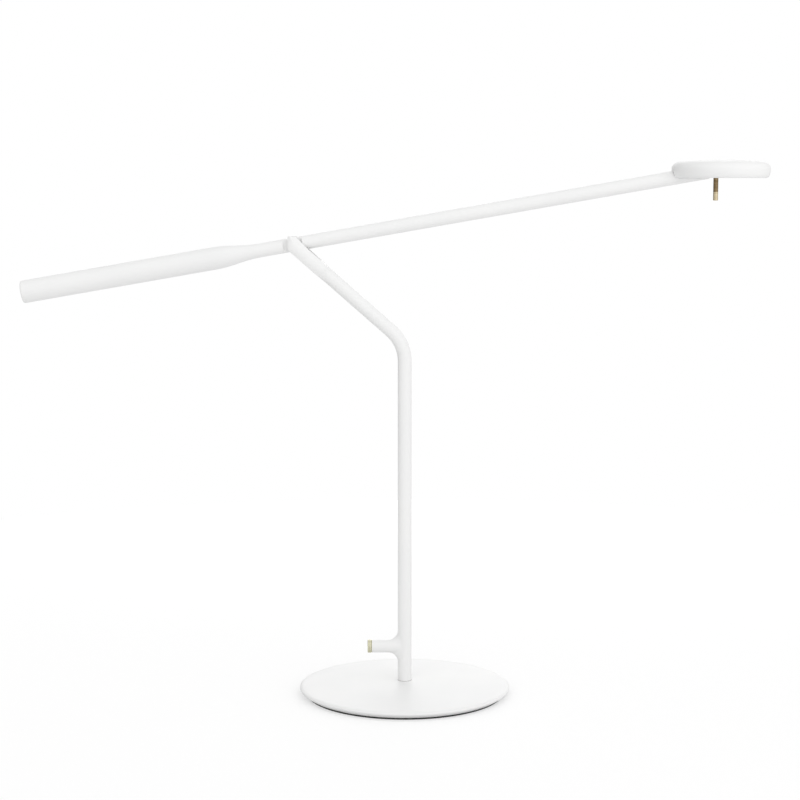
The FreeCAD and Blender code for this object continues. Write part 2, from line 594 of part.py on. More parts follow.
def fork_bar():
    """The bar that the fork is cut from, turned down to the tube's size at its lower end."""
    left_end = -KNUCKLE_RADIUS * 2
    shoulder = point(FORK_FULL_LENGTH, KNUCKLE_RADIUS)
    neck = point(FORK_LENGTH, TUBE_RADIUS)
    outline = [
        line(point(left_end, 0), point(left_end, KNUCKLE_RADIUS)),
        line(point(left_end, KNUCKLE_RADIUS), shoulder),
        s_curve(shoulder, neck, TAPER_SOFTNESS),
        line(neck, point(FORK_LENGTH, 0)),
        line(point(FORK_LENGTH, 0), point(left_end, 0)),
    ]
    return tilted(turned(outline, X_AXIS), -DIAGONAL_RISE)


def ear_rounding():
    """Upright-walled room that rounds the ears' left ends when seen from above."""
    rounds = []
    for side in (1, -1):
        axis_foot = FreeCAD.Vector(EAR_ROUND_START, side * EAR_ROUND_OFFSET, 0)
        rounds.append(rod(EAR_ROUND_RADIUS, -FAR, FAR, Z_AXIS, axis_foot))
    rest = block((EAR_ROUND_START, -KNUCKLE_RADIUS, -FAR), (FAR, KNUCKLE_RADIUS, FAR))
    return rounds[0].common(rounds[1]).fuse(rest)


def make_fork_head():
    """The knuckle at the post's top: two ears with bosses, the slot that the arm swings in, and a plug."""
    fork = fork_bar().common(through(fork_outline(), KNUCKLE_RADIUS)).common(ear_rounding())
    fork = fork.cut(through(arm_sweep(), SLOT_HALF_WIDTH))
    for side in (1, -1):
        boss = rod(BOSS_RADIUS, HUB_WASHER_FACE, SLOT_HALF_WIDTH + MERGE_DEPTH, Y_AXIS * side)
        fork = fork.fuse(boss)
    pin_hole = rod(PIVOT_RADIUS + RUNNING_GAP, 0, KNUCKLE_RADIUS + 1, Y_AXIS)
    head_pocket = rod(PIVOT_HEAD_RADIUS + LOOSE_GAP, PIVOT_POCKET_FLOOR, KNUCKLE_RADIUS + 1, Y_AXIS)
    thread_end = HUB_WASHER_FACE + PIVOT_THREAD_LENGTH + MOVING_GAP
    thread_hole = rod(PIVOT_THREAD_RADIUS + PRESS_GAP, 0, thread_end, Y_AXIS * -1)
    fork = fork.cut(pin_hole.fuse(head_pocket).fuse(thread_hole))
    plug = rod(PLUG_RADIUS, FORK_LENGTH - 1, FORK_LENGTH + FORK_PLUG_LENGTH)
    wire_way = rod(FORK_WIRE_RADIUS, 0, FORK_LENGTH + FORK_PLUG_LENGTH + 1)
    fork = fork.fuse(tilted(plug, -DIAGONAL_RISE)).cut(tilted(wire_way, -DIAGONAL_RISE))
    fork.translate(PIVOT)
    return biggest(fork.removeSplitter())


def make_pivot_pin():
    """The shoulder screw that the arm turns on, put in from the back, with a domed slotted head."""
    seat = PIVOT_POCKET_FLOOR + SPRING_WASHER_THICKNESS
    shank = rod(PIVOT_RADIUS, -HUB_WASHER_FACE, seat, Y_AXIS)
    thread = rod(PIVOT_THREAD_RADIUS, HUB_WASHER_FACE, HUB_WASHER_FACE + PIVOT_THREAD_LENGTH, Y_AXIS * -1)
    head = rod(PIVOT_HEAD_RADIUS, seat, seat + PIVOT_HEAD_HEIGHT, Y_AXIS)
    rim = [e for e in head.Edges if e.BoundBox.YMin > seat + PIVOT_HEAD_HEIGHT / 2]
    head = head.makeFillet(PIVOT_HEAD_EDGE, rim)
    half = PIVOT_HEAD_SLOT / 2
    slot = block((-FAR, seat + PIVOT_HEAD_HEIGHT - PIVOT_HEAD_SLOT, -half), (FAR, FAR, half))
    pin = shank.fuse(thread).fuse(head).cut(slot)
    pin.translate(PIVOT)
    return pin


def make_pivot_spring_washer():
    """The sprung cone washer under the pin's head that sets the arm's friction."""
    start = PIVOT_POCKET_FLOOR
    cone = ring(PIVOT_HEAD_RADIUS, PIVOT_RADIUS + RUNNING_GAP, start,
                start + SPRING_WASHER_THICKNESS, Y_AXIS)
    cone.translate(PIVOT)
    return cone


def make_pivot_friction_washers():
    """The two fibre washers between the ears' bosses and the flats of the hub."""
    washers = []
    for side in (1, -1):
        washer = ring(BOSS_RADIUS, PIVOT_RADIUS + RUNNING_GAP, HUB_HALF_THICKNESS + FACE_GAP,
                      HUB_WASHER_FACE, Y_AXIS * side)
        washer.translate(PIVOT)
        washers.append(washer)
    return Part.makeCompound(washers)


def make_pivot_bush():
    """The bronze bush pressed into the hub."""
    bush = ring(PIVOT_BUSH_RADIUS, PIVOT_RADIUS + RUNNING_GAP, -HUB_HALF_THICKNESS,
                HUB_HALF_THICKNESS, Y_AXIS)
    bush.translate(PIVOT)
    return bush


# ------------------------------------------------------------------ arm
def cheeks(start, end, half_thickness):
    """What milling removes to leave a flat tongue between two places along a round bar."""
    front = block((start, half_thickness, -FAR), (end, FAR, FAR))
    back = block((start, -FAR, -FAR), (end, -half_thickness, FAR))
    return front.fuse(back)


def make_arm_hub():
    """The solid middle of the arm: tongue with two flats, plug for the tube and stud for the weight."""
    hub = rod(TUBE_RADIUS, -HUB_LEFT, HUB_RIGHT)
    hub = hub.cut(cheeks(HUB_COLLAR - HUB_LEFT, HUB_RIGHT + 1, HUB_HALF_THICKNESS))
    plug = rod(PLUG_RADIUS, HUB_RIGHT, HUB_RIGHT + HUB_PLUG_LENGTH)
    stud = rod(WEIGHT_STUD_RADIUS, -HUB_LEFT - WEIGHT_STUD_LENGTH, -HUB_LEFT)
    bush_hole = rod(PIVOT_BUSH_RADIUS + PRESS_GAP, -FAR, FAR, Y_AXIS)
    wire_way = rod(HUB_WIRE_RADIUS, HUB_WIRE_EXIT, HUB_RIGHT + HUB_PLUG_LENGTH + 1)
    exit_radius = HUB_WIRE_RADIUS + WIRE_EXIT_STEP
    wire_exit = rod(exit_radius, -exit_radius, TUBE_RADIUS + 1, Z_AXIS * -1, point(HUB_WIRE_EXIT, 0))
    hub = hub.fuse(plug).fuse(stud).cut(bush_hole).cut(wire_way.fuse(wire_exit))
    return on_arm(biggest(hub))


def make_arm_tube():
    """The long straight tube from the hub to the swivel."""
    return on_arm(ring(TUBE_RADIUS, TUBE_BORE, HUB_RIGHT, ARM_TUBE_END))


def make_counterweight():
    """The turned steel weight that swells out of the arm, with its threaded socket."""
    taper_start = point(-WEIGHT_TAPER_START, TUBE_RADIUS)
    taper_end = point(-WEIGHT_TAPER_END, WEIGHT_RADIUS)
    edge_start = point(-WEIGHT_END + WEIGHT_EDGE, WEIGHT_RADIUS)
    edge_end = point(-WEIGHT_END, WEIGHT_RADIUS - WEIGHT_EDGE)
    socket_end = point(-HUB_LEFT - WEIGHT_STUD_LENGTH - MOVING_GAP, 0)
    socket = WEIGHT_STUD_RADIUS + PRESS_GAP
    outline = [
        line(socket_end, socket_end + Z_AXIS * socket),
        line(socket_end + Z_AXIS * socket, point(-HUB_LEFT, socket)),
        line(point(-HUB_LEFT, socket), point(-HUB_LEFT, TUBE_RADIUS)),
        line(point(-HUB_LEFT, TUBE_RADIUS), taper_start),
        s_curve(taper_start, taper_end, TAPER_SOFTNESS),
        line(taper_end, edge_start),
        rounded_corner(edge_start, point(-WEIGHT_END, WEIGHT_RADIUS), edge_end),
        line(edge_end, point(-WEIGHT_END, 0)),
        line(point(-WEIGHT_END, 0), socket_end),
    ]
    return on_arm(turned(outline, X_AXIS))


# ------------------------------------------------------------------ swivel
def make_swivel_bush():
    """The friction sleeve pressed into the arm's end."""
    return on_arm(ring(PLUG_RADIUS, SPINDLE_RADIUS + RUNNING_GAP, SWIVEL_BUSH_START, ARM_TUBE_END))


def make_swivel_eye():
    """The turning end of the arm: spindle, round body and ball-ended tongue with the hinge's bore."""
    spindle_start = SWIVEL_WASHER_START - SWIVEL_NUT_THICKNESS
    hinge = point(HEAD_HINGE_REACH, 0)
    diagonal = TUBE_RADIUS * math.sqrt(0.5)
    outline = [
        line(point(spindle_start, 0), point(spindle_start, SPINDLE_RADIUS)),
        line(point(spindle_start, SPINDLE_RADIUS), point(EYE_SHOULDER, SPINDLE_RADIUS)),
        line(point(EYE_SHOULDER, SPINDLE_RADIUS), point(EYE_SHOULDER, TUBE_RADIUS)),
        line(point(EYE_SHOULDER, TUBE_RADIUS), hinge + Z_AXIS * TUBE_RADIUS),
        arc(hinge + Z_AXIS * TUBE_RADIUS, hinge + point(diagonal, diagonal), hinge + X_AXIS * TUBE_RADIUS),
        line(hinge + X_AXIS * TUBE_RADIUS, point(spindle_start, 0)),
    ]
    flats = cheeks(HEAD_HINGE_REACH - EYE_FLAT_LENGTH, HEAD_HINGE_REACH + FAR, EYE_HALF_THICKNESS)
    bore = rod(HINGE_PIN_RADIUS + RUNNING_GAP, -FAR, FAR, Y_AXIS, hinge)
    exit_place = HEAD_HINGE_REACH - EYE_WIRE_EXIT
    exit_radius = SPINDLE_BORE_RADIUS + WIRE_EXIT_STEP
    wire_way = rod(SPINDLE_BORE_RADIUS, spindle_start - 1, exit_place)
    wire_exit = rod(exit_radius, -exit_radius, TUBE_RADIUS + 1, Z_AXIS, point(exit_place, 0))
    eye = turned(outline, X_AXIS).cut(flats).cut(bore).cut(wire_way.fuse(wire_exit))
    return on_arm(biggest(eye))


def make_swivel_spring_washer():
    """The sprung washer that loads the swivel's sleeve."""
    end = SWIVEL_WASHER_START + SPRING_WASHER_THICKNESS
    return on_arm(ring(SWIVEL_NUT_RADIUS, SPINDLE_RADIUS + PRESS_GAP, SWIVEL_WASHER_START, end))


def make_swivel_nut():
    """The round lock nut on the spindle's inner end."""
    start = SWIVEL_WASHER_START - SWIVEL_NUT_THICKNESS
    return on_arm(ring(SWIVEL_NUT_RADIUS, SPINDLE_RADIUS + PRESS_GAP, start, SWIVEL_WASHER_START))


# ------------------------------------------------------------------ head
def arm_notch():
    """Room in the head for the arm's round end, open downwards so that the head can tilt."""
    length = HEAD_RADIUS * 2
    upright = (-length, -NOTCH_RADIUS, -length)
    at_rest = tilted(rod(NOTCH_RADIUS, -length, 0).fuse(block(upright, (0, NOTCH_RADIUS, 0))), ARM_TILT)
    tilted_down = tilted(block((-length, -NOTCH_RADIUS, -NOTCH_RADIUS), (0, NOTCH_RADIUS, 0)),
                         ARM_TILT + HEAD_TILT_DOWN + TRAVEL_MARGIN)
    nose = rod(NOTCH_RADIUS, -NOTCH_RADIUS, NOTCH_RADIUS, Y_AXIS)
    room = at_rest.fuse(nose).fuse(tilted_down).fuse(block(upright, (0, NOTCH_RADIUS, 0)))
    room.translate(point(HINGE_X, HINGE_Z))
    return room


def bracket_plan(half_width, bottom, top):
    """The hinge bracket's footprint, from the head's left edge to its round nose."""
    run = block((-HEAD_RADIUS * 2, -half_width, bottom), (BRACKET_NOSE_CENTRE, half_width, top))
    nose = rod(half_width, bottom, top, Z_AXIS, point(BRACKET_NOSE_CENTRE, 0))
    return run.fuse(nose).removeSplitter()


def screw_places():
    """Where the three screws of the heat plate stand on the head."""
    return [polar(SCREW_RING_RADIUS, side * SCREW_SPREAD) for side in (0, 1, -1)]


def polar(radius, degrees):
    """A point on the head's underside plane at a radius and an angle from +X."""
    angle = math.radians(degrees)
    return FreeCAD.Vector(radius * math.cos(angle), radius * math.sin(angle), 0)


def flange_screw_places():
    """Where the two screws of the hinge bracket stand on the head."""
    reach = BRACKET_HALF_WIDTH + BRACKET_SCREW_REACH
    return [FreeCAD.Vector(BRACKET_NOSE_CENTRE, side * reach, 0) for side in (1, -1)]


def make_head_shell():
    """The round head: crowned top, rounded rim, pocket with a ledge, screw bosses and the arm's notch."""
    crown_edge = point(HEAD_CROWN_RADIUS, HEAD_HEIGHT - HEAD_CROWN_DROP)
    crown_middle = point(HEAD_CROWN_RADIUS / 2, HEAD_HEIGHT - HEAD_CROWN_DROP / 4)
    crown_slope = 2 * HEAD_CROWN_DROP / HEAD_CROWN_RADIUS
    shoulder_reach = HEAD_RADIUS - HEAD_CROWN_RADIUS
    widest = point(HEAD_RADIUS, HEAD_WIDEST)
    shoulder = point(HEAD_RADIUS, crown_edge.z - shoulder_reach * crown_slope)
    lower_edge = point(HEAD_RADIUS - HEAD_LOWER_EDGE, 0)
    lip = DIFFUSER_RADIUS + LOOSE_GAP
    outline = [
        line(point(0, HEAD_CEILING), point(0, HEAD_HEIGHT)),
        arc(point(0, HEAD_HEIGHT), crown_middle, crown_edge),
        rounded_corner(crown_edge, shoulder, widest),
        rounded_corner(widest, point(HEAD_RADIUS, 0), lower_edge),
        line(lower_edge, point(lip, 0)),
        line(point(lip, 0), point(lip, DIFFUSER_TOP)),
        line(point(lip, DIFFUSER_TOP), point(HEAD_POCKET_RADIUS, DIFFUSER_TOP)),
        line(point(HEAD_POCKET_RADIUS, DIFFUSER_TOP), point(HEAD_POCKET_RADIUS, HEAD_CEILING)),
        line(point(HEAD_POCKET_RADIUS, HEAD_CEILING), point(0, HEAD_CEILING)),
    ]
    shell = turned(outline, Z_AXIS)
    for place in screw_places():
        shell = shell.fuse(rod(SCREW_BOSS_RADIUS, PLATE_TOP, HEAD_CEILING + MERGE_DEPTH, Z_AXIS, place))
    holes = []
    for place in screw_places():
        holes.append(rod(SCREW_RADIUS + PRESS_GAP, 0, PLATE_TOP + SCREW_GRIP + MOVING_GAP, Z_AXIS, place))
    for place in flange_screw_places():
        top = HEAD_CEILING + BRACKET_SCREW_GRIP + MOVING_GAP
        holes.append(rod(SCREW_RADIUS + PRESS_GAP, 0, top, Z_AXIS, place))
    return on_head(biggest(shell.cut(Part.makeCompound(holes)).cut(arm_notch())))


def make_hinge_bracket():
    """The channel inside the head that takes the arm's end, with hinge bosses, nose block and flange."""
    inner = HEAD_POCKET_RADIUS - LOOSE_GAP
    lower = bracket_plan(BRACKET_HALF_WIDTH, 0, HEAD_CEILING)
    lower = lower.common(rod(inner, 0, HEAD_CEILING, Z_AXIS))
    flange_start = BRACKET_NOSE_CENTRE - BRACKET_FLANGE_LENGTH / 2
    flange = block((flange_start, -FLANGE_HALF_WIDTH, FLANGE_BOTTOM),
                   (flange_start + BRACKET_FLANGE_LENGTH, FLANGE_HALF_WIDTH, HEAD_CEILING))
    bracket = lower.fuse(flange).cut(arm_notch())
    hinge = point(HINGE_X, HINGE_Z)
    for side in (1, -1):
        boss = rod(HINGE_BOSS_RADIUS, EYE_WASHER_FACE, NOTCH_RADIUS + MERGE_DEPTH, Y_AXIS * side, hinge)
        bracket = bracket.fuse(boss)
    pin_hole = rod(HINGE_PIN_RADIUS + PRESS_GAP, -FAR, FAR, Y_AXIS, hinge)
    handle_hole = rod(HANDLE_STUD_RADIUS + PRESS_GAP, -1, HANDLE_STUD_LENGTH + MOVING_GAP, Z_AXIS,
                      point(HANDLE_X, 0))
    bracket = bracket.cut(pin_hole).cut(handle_hole)
    for place in flange_screw_places():
        bracket = bracket.cut(rod(SCREW_RADIUS + SCREW_GAP, 0, HEAD_CEILING + 1, Z_AXIS, place))
    return on_head(biggest(bracket.removeSplitter()))


def make_head_hinge_pin():
    """The plain steel pin across the bracket."""
    hinge = point(HINGE_X, HINGE_Z)
    return on_head(rod(HINGE_PIN_RADIUS, -BRACKET_HALF_WIDTH, BRACKET_HALF_WIDTH, Y_AXIS, hinge))


def make_head_friction_washers():
    """The two fibre washers between the bracket's bosses and the eye."""
    washers = []
    for side in (1, -1):
        washers.append(ring(HINGE_BOSS_RADIUS, HINGE_PIN_RADIUS + RUNNING_GAP, EYE_HALF_THICKNESS + FACE_GAP,
                            EYE_WASHER_FACE, Y_AXIS * side, point(HINGE_X, HINGE_Z)))
    return on_head(Part.makeCompound(washers))


def make_bracket_screws():
    """The two short screws that hold the bracket to the head shell."""
    screws = []
    for place in flange_screw_places():
        head = rod(SCREW_HEAD_RADIUS, FLANGE_BOTTOM - SCREW_HEAD_HEIGHT, FLANGE_BOTTOM, Z_AXIS, place)
        shank = rod(SCREW_RADIUS, FLANGE_BOTTOM, HEAD_CEILING + BRACKET_SCREW_GRIP, Z_AXIS, place)
        screws.append(head.fuse(shank))
    return on_head(Part.makeCompound(screws))


def slotted_disc(radius, bottom, top):
    """A disc of the head's inside with room for the bracket."""
    room = bracket_plan(BRACKET_HALF_WIDTH + LOOSE_GAP, bottom - 1, top + 1)
    return rod(radius, bottom, top, Z_AXIS).cut(room)


def make_heat_plate():
    """The aluminium plate that carries the lights and takes their heat to the shell."""
    plate = slotted_disc(PLATE_RADIUS, PLATE_BOTTOM, PLATE_TOP)
    for place in screw_places():
        plate = plate.cut(rod(SCREW_RADIUS + SCREW_GAP, 0, HEAD_HEIGHT, Z_AXIS, place))
    return on_head(plate)


def make_led_board():
    """The circuit board under the heat plate."""
    board = slotted_disc(BOARD_RADIUS, BOARD_BOTTOM, PLATE_BOTTOM)
    for place in screw_places():
        board = board.cut(rod(SCREW_RADIUS + SCREW_GAP, 0, HEAD_HEIGHT, Z_AXIS, place))
    return on_head(board)


def make_led_chips():
    """The ring of light-emitting chips, left open where the bracket passes."""
    opening = 2 * math.degrees(math.asin((BRACKET_HALF_WIDTH + CHIP_SIZE) / CHIP_RING_RADIUS))
    step = (360.0 - opening) / (CHIP_COUNT - 1)
    chips = []
    for index in range(CHIP_COUNT):
        angle = 180.0 + opening / 2 + step * index
        half = CHIP_SIZE / 2
        chip = block((CHIP_RING_RADIUS - half, -half, BOARD_BOTTOM - CHIP_THICKNESS),
                     (CHIP_RING_RADIUS + half, half, BOARD_BOTTOM))
        chip.rotate(ORIGIN, Z_AXIS, angle)
        chips.append(chip)
    return on_head(Part.makeCompound(chips))


def make_plate_screws():
    """The three screws that hold board and plate up to the shell's bosses."""
    screws = []
    for place in screw_places():
        head = rod(SCREW_HEAD_RADIUS, BOARD_BOTTOM - SCREW_HEAD_HEIGHT, BOARD_BOTTOM, Z_AXIS, place)
        shank = rod(SCREW_RADIUS, BOARD_BOTTOM, PLATE_TOP + SCREW_GRIP, Z_AXIS, place)
        screws.append(head.fuse(shank))
    return on_head(Part.makeCompound(screws))


def make_diffuser():
    """The opal cover flush in the head's underside."""
    return on_head(slotted_disc(DIFFUSER_RADIUS, DIFFUSER_RECESS, DIFFUSER_TOP))


# ------------------------------------------------------------------ handle pin
def make_handle_stem():
    """The dark upper part of the pin that the head is moved by, with its stud."""
    place = point(HANDLE_X, 0)
    stem = rod(HANDLE_RADIUS, 0, HANDLE_STEM_LENGTH, Z_AXIS * -1, place)
    stud = rod(HANDLE_STUD_RADIUS, 0, HANDLE_STUD_LENGTH, Z_AXIS, place)
    socket_start = HANDLE_STEM_LENGTH - HANDLE_SPIGOT_LENGTH - MOVING_GAP
    socket = rod(HANDLE_SPIGOT_RADIUS + PRESS_GAP, socket_start, HANDLE_STEM_LENGTH + 1, Z_AXIS * -1, place)
    return on_head(stem.fuse(stud).cut(socket))


def make_handle_tip():
    """The bright brass lower part of the pin."""
    place = point(HANDLE_X, 0)
    end = HANDLE_STEM_LENGTH + HANDLE_TIP_LENGTH
    tip = rod(HANDLE_RADIUS, HANDLE_STEM_LENGTH, end, Z_AXIS * -1, place)
    tip = tip.makeFillet(HANDLE_EDGE, [e for e in tip.Edges if e.BoundBox.ZMax < HANDLE_EDGE - end])
    spigot = rod(HANDLE_SPIGOT_RADIUS, HANDLE_STEM_LENGTH - HANDLE_SPIGOT_LENGTH, HANDLE_STEM_LENGTH,
                 Z_AXIS * -1, place)
    return on_head(tip.fuse(spigot))


PIECES = {
    "foot_pad": make_foot_pad,
    "base_plate": make_base_plate,
    "inlet_bush": make_inlet_bush,
    "post_spigot": make_post_spigot,
    "post_washer": make_post_washer,
    "post_nut": make_post_nut,
    "post_tube": make_post_tube,
    "dimmer_body": make_dimmer_body,
    "dimmer_nut": make_dimmer_nut,
    "dimmer_shaft": make_dimmer_shaft,
    "dimmer_knob": make_dimmer_knob,
    "fork_head": make_fork_head,
    "pivot_pin": make_pivot_pin,
    "pivot_spring_washer": make_pivot_spring_washer,
    "pivot_friction_washers": make_pivot_friction_washers,
    "pivot_bush": make_pivot_bush,
    "arm_hub": make_arm_hub,
    "arm_tube": make_arm_tube,
    "counterweight": make_counterweight,
    "swivel_bush": make_swivel_bush,
    "swivel_eye": make_swivel_eye,
    "swivel_spring_washer": make_swivel_spring_washer,
    "swivel_nut": make_swivel_nut,
    "head_shell": make_head_shell,
    "hinge_bracket": make_hinge_bracket,
    "head_hinge_pin": make_head_hinge_pin,
    "head_friction_washers": make_head_friction_washers,
    "bracket_screws": make_bracket_screws,
    "heat_plate": make_heat_plate,
    "led_board": make_led_board,
    "led_chips": make_led_chips,
    "plate_screws": make_plate_screws,
    "diffuser": make_diffuser,
    "handle_stem": make_handle_stem,
    "handle_tip": make_handle_tip,
}

os.makedirs("parts", exist_ok=True)
for name, make in PIECES.items():
    shape = make()
    shape.exportStep(f"parts/{name}.step")
    print(f"{name}: {len(shape.Solids)} solid(s), {shape.Volume / 1000:.2f} cm3, valid {shape.isValid()}")
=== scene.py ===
"""Looks of the counterweight balance desk lamp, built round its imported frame.

Everything is in metres, in the frame's own axes: the lamp stands on Z = 0 with the middle of its foot at the
origin, its head reaches towards +X, its counterweight towards -X, and the camera looks along +Y.
Each sub-assembly is a class that dresses its own CAD pieces and builds the small parts that only show here.
"""

import logging
import math
from dataclasses import dataclass, field
from enum import Enum
from typing import Sequence

import bmesh
import bpy
from mathutils import Matrix, Vector


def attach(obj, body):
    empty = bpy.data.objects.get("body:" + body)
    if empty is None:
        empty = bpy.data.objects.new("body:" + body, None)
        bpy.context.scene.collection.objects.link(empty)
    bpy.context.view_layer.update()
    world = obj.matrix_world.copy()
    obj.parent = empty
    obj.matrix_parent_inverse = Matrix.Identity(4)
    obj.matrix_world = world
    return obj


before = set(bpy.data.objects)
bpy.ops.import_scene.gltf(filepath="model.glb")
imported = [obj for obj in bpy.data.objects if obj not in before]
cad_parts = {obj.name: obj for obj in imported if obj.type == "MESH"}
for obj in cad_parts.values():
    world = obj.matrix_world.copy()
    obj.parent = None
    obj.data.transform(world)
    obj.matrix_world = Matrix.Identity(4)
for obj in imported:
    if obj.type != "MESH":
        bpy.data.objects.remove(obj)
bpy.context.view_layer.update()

LOG = logging.getLogger("desk_lamp")

Colour = tuple[float, float, float]
Point = tuple[float, float, float]

MM = 0.001
BLEND_FROM = 0.35           # noise that still gives a finish's own colour
BLEND_FULL = 0.65           # noise that gives its second colour
PATCH_FULL = 0.99           # cosine of the angle within which a patch of the room has its full amount
RING_CREASE = math.radians(35)
ARM_RISE = math.radians(9.91)


class Axis(Enum):
    """Directions that a turned or brushed piece was worked along, as the angles that bring them onto X."""

    UPRIGHT = (0.0, math.pi / 2, 0.0)
    LEVEL = (0.0, 0.0, 0.0)
    ACROSS = (0.0, 0.0, math.pi / 2)


# ---------------------------------------------------------------- shared surface effects
class Effect:
    """A shader node group that is built once and placed in every material that needs it."""

    name = "effect"
    inputs: Sequence[tuple[str, str, float]] = ()
    outputs: Sequence[tuple[str, str]] = ()

    def group(self) -> bpy.types.NodeTree:
        """Find the effect's node group, or build it the first time.

        Returns:
            The node group, ready to be placed in a material.
        """
        if self.name in bpy.data.node_groups:
            return bpy.data.node_groups[self.name]
        tree = bpy.data.node_groups.new(self.name, "ShaderNodeTree")
        tree.interface.new_socket("Vector", in_out="INPUT", socket_type="NodeSocketVector")
        for label, kind, value in self.inputs:
            socket = tree.interface.new_socket(label, in_out="INPUT", socket_type=kind)
            socket.default_value = value
        for label, kind in self.outputs:
            tree.interface.new_socket(label, in_out="OUTPUT", socket_type=kind)
        self.fill(Wiring(tree))
        return tree

    def fill(self, wiring: "Wiring") -> None:
        """Put the effect's nodes into its group.

        Args:
            wiring: The helper that adds and links nodes in the group.
        """
        raise NotImplementedError


@dataclass
class Wiring:
    """Adds and links nodes in one tree."""

    tree: bpy.types.NodeTree

    def add(self, kind: str, links: dict | None = None, **settings: object) -> bpy.types.Node:
        """Add a node, set its options and link or fill its inputs.

        Args:
            kind: Blender's name for the node type.
            links: Input name or index to a socket to link from, or to a plain value.
            **settings: Attributes of the node.

        Returns:
            The new node.
        """
        node = self.tree.nodes.new(kind)
        for key, value in settings.items():
            setattr(node, key, value)
        for key, value in (links or {}).items():
            if isinstance(value, bpy.types.NodeSocket):
                self.tree.links.new(value, node.inputs[key])
            else:
                node.inputs[key].default_value = value
        return node

    def math(self, operation: str, *values: object) -> bpy.types.NodeSocket:
        """Add a math node and give back its result.

        Args:
            operation: The math node's operation.
            *values: Sockets or numbers for its inputs, in order.

        Returns:
            The result's socket.
        """
        return self.add("ShaderNodeMath", dict(enumerate(values)), operation=operation).outputs[0]

    def spread(self, value: bpy.types.NodeSocket, low: float, high: float,
               to_low: float, to_high: float) -> bpy.types.NodeSocket:
        """Map a range of values onto another one, clamped.

        Args:
            value: The socket to map.
            low: Start of the range it comes in.
            high: End of the range it comes in.
            to_low: What the start becomes.
            to_high: What the end becomes.

        Returns:
            The mapped value's socket.
        """
        links = {"Value": value, "From Min": low, "From Max": high, "To Min": to_low, "To Max": to_high}
        return self.add("ShaderNodeMapRange", links).outputs["Result"]

    def noise(self, vector: bpy.types.NodeSocket, scale: object, detail: float,
              roughness: float) -> bpy.types.NodeSocket:
        """Add a noise texture and give back its factor.

        Args:
            vector: Where the noise is read.
            scale: Its scale, per metre.
            detail: Number of octaves.
            roughness: Weight of the finer octaves.

        Returns:
            The factor's socket.
        """
        links = {"Vector": vector, "Scale": scale, "Detail": detail, "Roughness": roughness}
        return self.add("ShaderNodeTexNoise", links).outputs[0]


class OrangePeel(Effect):
    """The faint waviness and pin-point grain of a sprayed and baked coat."""

    name = "orange_peel"
    inputs = (("Wave", "NodeSocketFloat", 420.0), ("Grain", "NodeSocketFloat", 2600.0),
              ("Grain Share", "NodeSocketFloat", 0.25))
    outputs = (("Height", "NodeSocketFloat"), ("Tone", "NodeSocketFloat"))
    tone_scale = 9.0

    def fill(self, wiring: Wiring) -> None:
        """Mix slow waves with fine grain for the height, and give a slow tone for the colour."""
        start = wiring.add("NodeGroupInput")
        waves = wiring.noise(start.outputs["Vector"], start.outputs["Wave"], 1.0, 0.4)
        grain = wiring.noise(start.outputs["Vector"], start.outputs["Grain"], 2.0, 0.6)
        height = wiring.math("MULTIPLY_ADD", grain, start.outputs["Grain Share"], waves)
        tone = wiring.noise(start.outputs["Vector"], self.tone_scale, 3.0, 0.55)
        wiring.add("NodeGroupOutput", {"Height": height, "Tone": tone})


class TurningMarks(Effect):
    """Fine rings left by a lathe, or straight brushing, square to the X direction of its vector."""

    name = "turning_marks"
    inputs = (("Pitch", "NodeSocketFloat", 5200.0), ("Wander", "NodeSocketFloat", 260.0))
    outputs = (("Height", "NodeSocketFloat"), ("Tone", "NodeSocketFloat"))
    line_scale = 1.0
    tone_scale = 0.12

    def fill(self, wiring: Wiring) -> None:
        """Stretch fine noise round the axis, and add slow wandering marks."""
        start = wiring.add("NodeGroupInput")
        parts = wiring.add("ShaderNodeSeparateXYZ", {0: start.outputs["Vector"]})
        along = wiring.math("MULTIPLY", parts.outputs["X"], start.outputs["Pitch"])
        around_y = wiring.math("MULTIPLY", parts.outputs["Y"], start.outputs["Wander"])
        around_z = wiring.math("MULTIPLY", parts.outputs["Z"], start.outputs["Wander"])
        stretched = wiring.add("ShaderNodeCombineXYZ", {0: along, 1: around_y, 2: around_z}).outputs[0]
        lines = wiring.noise(stretched, self.line_scale, 3.0, 0.6)
        tone = wiring.noise(stretched, self.tone_scale, 2.0, 0.5)
        wiring.add("NodeGroupOutput", {"Height": lines, "Tone": tone})


class Handling(Effect):
    """Faint smears that make a surface a little less even in gloss."""

    name = "handling"
    inputs = (("Size", "NodeSocketFloat", 34.0), ("Amount", "NodeSocketFloat", 1.0))
    outputs = (("Smear", "NodeSocketFloat"),)
    smear_from = 0.45
    smear_full = 0.72

    def fill(self, wiring: Wiring) -> None:
        """Soft-edged smears from slow noise."""
        start = wiring.add("NodeGroupInput")
        slow = wiring.noise(start.outputs["Vector"], start.outputs["Size"], 4.0, 0.62)
        smear = wiring.spread(slow, self.smear_from, self.smear_full, 0.0, 1.0)
        smear = wiring.math("MULTIPLY", smear, start.outputs["Amount"])
        wiring.add("NodeGroupOutput", {"Smear": smear})


# ---------------------------------------------------------------- finishes
def place_effect(wiring: Wiring, effect: Effect, vector: bpy.types.NodeSocket,
                 **values: float) -> bpy.types.Node:
    """Place a shared effect in a material.

    Args:
        wiring: The material's wiring.
        effect: The effect to place.
        vector: Where the effect is read.
        **values: The group's inputs, with spaces written as underscores.

    Returns:
        The group node.
    """
    node = wiring.add("ShaderNodeGroup", node_tree=effect.group())
    wiring.tree.links.new(vector, node.inputs["Vector"])
    for label, value in values.items():
        node.inputs[label.replace("_", " ")].default_value = value
    return node


